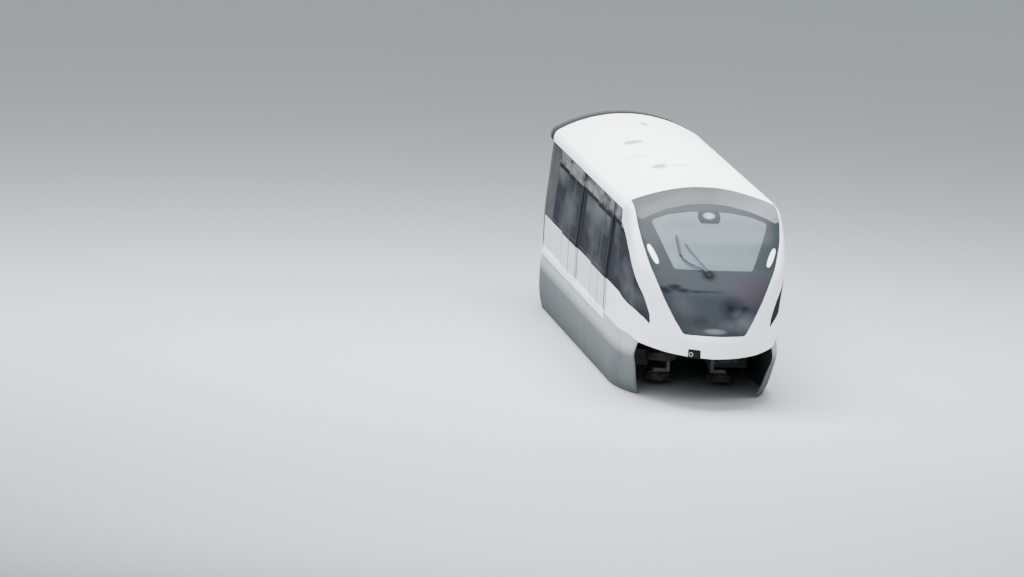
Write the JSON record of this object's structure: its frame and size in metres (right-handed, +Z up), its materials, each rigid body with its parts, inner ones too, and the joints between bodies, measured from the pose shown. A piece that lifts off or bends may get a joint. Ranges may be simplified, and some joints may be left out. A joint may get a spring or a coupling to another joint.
{
  "type": "straddle monorail end car",
  "caption": "End car of a straddle monorail with a moulded nose, sliding doors, side skirts and rubber-tyred bogies that grip a narrow beam.",
  "frame": {"origin": "on the beam's running surface, on the centreline, midway between the two bogies", "axes": "+X to the car's left side, +Y towards its rear end, +Z up; the nose points along -Y"},
  "size_m": [3.2, 13.175, 4.09],
  "materials": {
    "white_paint": "gloss",
    "roof_paint": "satin, weathered",
    "belt_paint": "gloss",
    "skirt_paint": "satin",
    "track_paint": "satin",
    "dark_mask": "high gloss",
    "tinted_glass": "tinted, glossy",
    "screen_glass": "clear, glossy",
    "lamp_lens": "clear lens over white",
    "bellows_rubber": "matt",
    "tyre": "matt",
    "frame_steel": "matt, dusty",
    "case_paint": "satin",
    "seat_shell": "satin",
    "rail_steel": "brushed",
    "floor_cover": "matt"
  },
  "bodies": {
    "car_body": {"nose_frame": "white_paint", "front_mask": "dark_mask", "windscreen": "screen_glass", "visor": "dark_mask", "headlight_left": "lamp_lens", "headlight_right": "lamp_lens", "cab_glass_left": "tinted_glass", "cab_glass_right": "tinted_glass", "side_wall_mid_left": "belt_paint", "side_wall_mid_right": "belt_paint", "side_wall_rear_left": "belt_paint", "side_wall_rear_right": "belt_paint", "window_mid_left": "tinted_glass", "window_mid_right": "tinted_glass", "window_rear_left": "tinted_glass", "window_rear_right": "tinted_glass", "door_track_left": "track_paint", "door_track_right": "track_paint", "roof": "roof_paint", "underframe": "floor_cover", "skirt_left": "skirt_paint", "skirt_right": "skirt_paint", "end_frame": "belt_paint", "gangway_bellows": "bellows_rubber", "front_coupler": "frame_steel", "rear_drawbar": "frame_steel", "equipment_case_left": "case_paint", "equipment_case_right": "case_paint", "bench_left": "seat_shell", "bench_right": "seat_shell", "grab_rails": "rail_steel", "front_console": "case_paint"},
    "door_front_fore_left": {"door_front_fore_left": "belt_paint"},
    "door_front_aft_left": {"door_front_aft_left": "belt_paint"},
    "door_front_fore_right": {"door_front_fore_right": "belt_paint"},
    "door_front_aft_right": {"door_front_aft_right": "belt_paint"},
    "door_rear_fore_left": {"door_rear_fore_left": "belt_paint"},
    "door_rear_aft_left": {"door_rear_aft_left": "belt_paint"},
    "door_rear_fore_right": {"door_rear_fore_right": "belt_paint"},
    "door_rear_aft_right": {"door_rear_aft_right": "belt_paint"},
    "bogie_front": {"bogie_frame_front": "frame_steel"},
    "load_wheels_front": {"load_wheels_front": "tyre"},
    "guide_wheel_front_fore_left": {"guide_wheel_front_fore_left": "tyre"},
    "guide_wheel_front_aft_left": {"guide_wheel_front_aft_left": "tyre"},
    "stabiliser_wheel_front_left": {"stabiliser_wheel_front_left": "tyre"},
    "guide_wheel_front_fore_right": {"guide_wheel_front_fore_right": "tyre"},
    "guide_wheel_front_aft_right": {"guide_wheel_front_aft_right": "tyre"},
    "stabiliser_wheel_front_right": {"stabiliser_wheel_front_right": "tyre"},
    "bogie_rear": {"bogie_frame_rear": "frame_steel"},
    "load_wheels_rear": {"load_wheels_rear": "tyre"},
    "guide_wheel_rear_fore_left": {"guide_wheel_rear_fore_left": "tyre"},
    "guide_wheel_rear_aft_left": {"guide_wheel_rear_aft_left": "tyre"},
    "stabiliser_wheel_rear_left": {"stabiliser_wheel_rear_left": "tyre"},
    "guide_wheel_rear_fore_right": {"guide_wheel_rear_fore_right": "tyre"},
    "guide_wheel_rear_aft_right": {"guide_wheel_rear_aft_right": "tyre"},
    "stabiliser_wheel_rear_right": {"stabiliser_wheel_rear_right": "tyre"}
  },
  "joints": [
    {"name": "slide_door_front_fore_left", "type": "slide", "parent": "car_body", "child": "door_front_fore_left", "axis": [0, -1, 0], "range_m": [0, 0.94]},
    {"name": "slide_door_front_aft_left", "type": "slide", "parent": "car_body", "child": "door_front_aft_left", "axis": [0, 1, 0], "range_m": [0, 0.94]},
    {"name": "slide_door_front_fore_right", "type": "slide", "parent": "car_body", "child": "door_front_fore_right", "axis": [0, -1, 0], "range_m": [0, 0.94]},
    {"name": "slide_door_front_aft_right", "type": "slide", "parent": "car_body", "child": "door_front_aft_right", "axis": [0, 1, 0], "range_m": [0, 0.94]},
    {"name": "slide_door_rear_fore_left", "type": "slide", "parent": "car_body", "child": "door_rear_fore_left", "axis": [0, -1, 0], "range_m": [0, 0.94]},
    {"name": "slide_door_rear_aft_left", "type": "slide", "parent": "car_body", "child": "door_rear_aft_left", "axis": [0, 1, 0], "range_m": [0, 0.94]},
    {"name": "slide_door_rear_fore_right", "type": "slide", "parent": "car_body", "child": "door_rear_fore_right", "axis": [0, -1, 0], "range_m": [0, 0.94]},
    {"name": "slide_door_rear_aft_right", "type": "slide", "parent": "car_body", "child": "door_rear_aft_right", "axis": [0, 1, 0], "range_m": [0, 0.94]},
    {"name": "yaw_bogie_front", "type": "hinge", "parent": "car_body", "child": "bogie_front", "pos_m": [0, -4.4, 0], "axis": [0, 0, 1], "range_deg": [-3, 3]},
    {"name": "spin_load_wheels_front", "type": "hinge", "parent": "bogie_front", "child": "load_wheels_front", "pos_m": [0, -4.4, 0.5], "axis": [1, 0, 0], "continuous": true},
    {"name": "spin_guide_wheel_front_fore_left", "type": "hinge", "parent": "bogie_front", "child": "guide_wheel_front_fore_left", "pos_m": [0.655, -5.04, -0.27], "axis": [0, 0, 1], "continuous": true},
    {"name": "spin_guide_wheel_front_aft_left", "type": "hinge", "parent": "bogie_front", "child": "guide_wheel_front_aft_left", "pos_m": [0.655, -3.76, -0.27], "axis": [0, 0, 1], "continuous": true},
    {"name": "spin_stabiliser_wheel_front_left", "type": "hinge", "parent": "bogie_front", "child": "stabiliser_wheel_front_left", "pos_m": [0.615, -4.4, -0.78], "axis": [0, 0, 1], "continuous": true},
    {"name": "spin_guide_wheel_front_fore_right", "type": "hinge", "parent": "bogie_front", "child": "guide_wheel_front_fore_right", "pos_m": [-0.655, -5.04, -0.27], "axis": [0, 0, 1], "continuous": true},
    {"name": "spin_guide_wheel_front_aft_right", "type": "hinge", "parent": "bogie_front", "child": "guide_wheel_front_aft_right", "pos_m": [-0.655, -3.76, -0.27], "axis": [0, 0, 1], "continuous": true},
    {"name": "spin_stabiliser_wheel_front_right", "type": "hinge", "parent": "bogie_front", "child": "stabiliser_wheel_front_right", "pos_m": [-0.615, -4.4, -0.78], "axis": [0, 0, 1], "continuous": true},
    {"name": "yaw_bogie_rear", "type": "hinge", "parent": "car_body", "child": "bogie_rear", "pos_m": [0, 4.4, 0], "axis": [0, 0, 1], "range_deg": [-3, 3]},
    {"name": "spin_load_wheels_rear", "type": "hinge", "parent": "bogie_rear", "child": "load_wheels_rear", "pos_m": [0, 4.4, 0.5], "axis": [1, 0, 0], "continuous": true},
    {"name": "spin_guide_wheel_rear_fore_left", "type": "hinge", "parent": "bogie_rear", "child": "guide_wheel_rear_fore_left", "pos_m": [0.655, 3.76, -0.27], "axis": [0, 0, 1], "continuous": true},
    {"name": "spin_guide_wheel_rear_aft_left", "type": "hinge", "parent": "bogie_rear", "child": "guide_wheel_rear_aft_left", "pos_m": [0.655, 5.04, -0.27], "axis": [0, 0, 1], "continuous": true},
    {"name": "spin_stabiliser_wheel_rear_left", "type": "hinge", "parent": "bogie_rear", "child": "stabiliser_wheel_rear_left", "pos_m": [0.615, 4.4, -0.78], "axis": [0, 0, 1], "continuous": true},
    {"name": "spin_guide_wheel_rear_fore_right", "type": "hinge", "parent": "bogie_rear", "child": "guide_wheel_rear_fore_right", "pos_m": [-0.655, 3.76, -0.27], "axis": [0, 0, 1], "continuous": true},
    {"name": "spin_guide_wheel_rear_aft_right", "type": "hinge", "parent": "bogie_rear", "child": "guide_wheel_rear_aft_right", "pos_m": [-0.655, 5.04, -0.27], "axis": [0, 0, 1], "continuous": true},
    {"name": "spin_stabiliser_wheel_rear_right", "type": "hinge", "parent": "bogie_rear", "child": "stabiliser_wheel_rear_right", "pos_m": [-0.615, 4.4, -0.78], "axis": [0, 0, 1], "continuous": true}
  ],
  "couplings": [
    {"joint": "slide_door_front_aft_left", "follows": "slide_door_front_fore_left", "ratio": 1},
    {"joint": "slide_door_front_aft_right", "follows": "slide_door_front_fore_right", "ratio": 1},
    {"joint": "slide_door_rear_aft_left", "follows": "slide_door_rear_fore_left", "ratio": 1},
    {"joint": "slide_door_rear_aft_right", "follows": "slide_door_rear_fore_right", "ratio": 1}
  ]
}
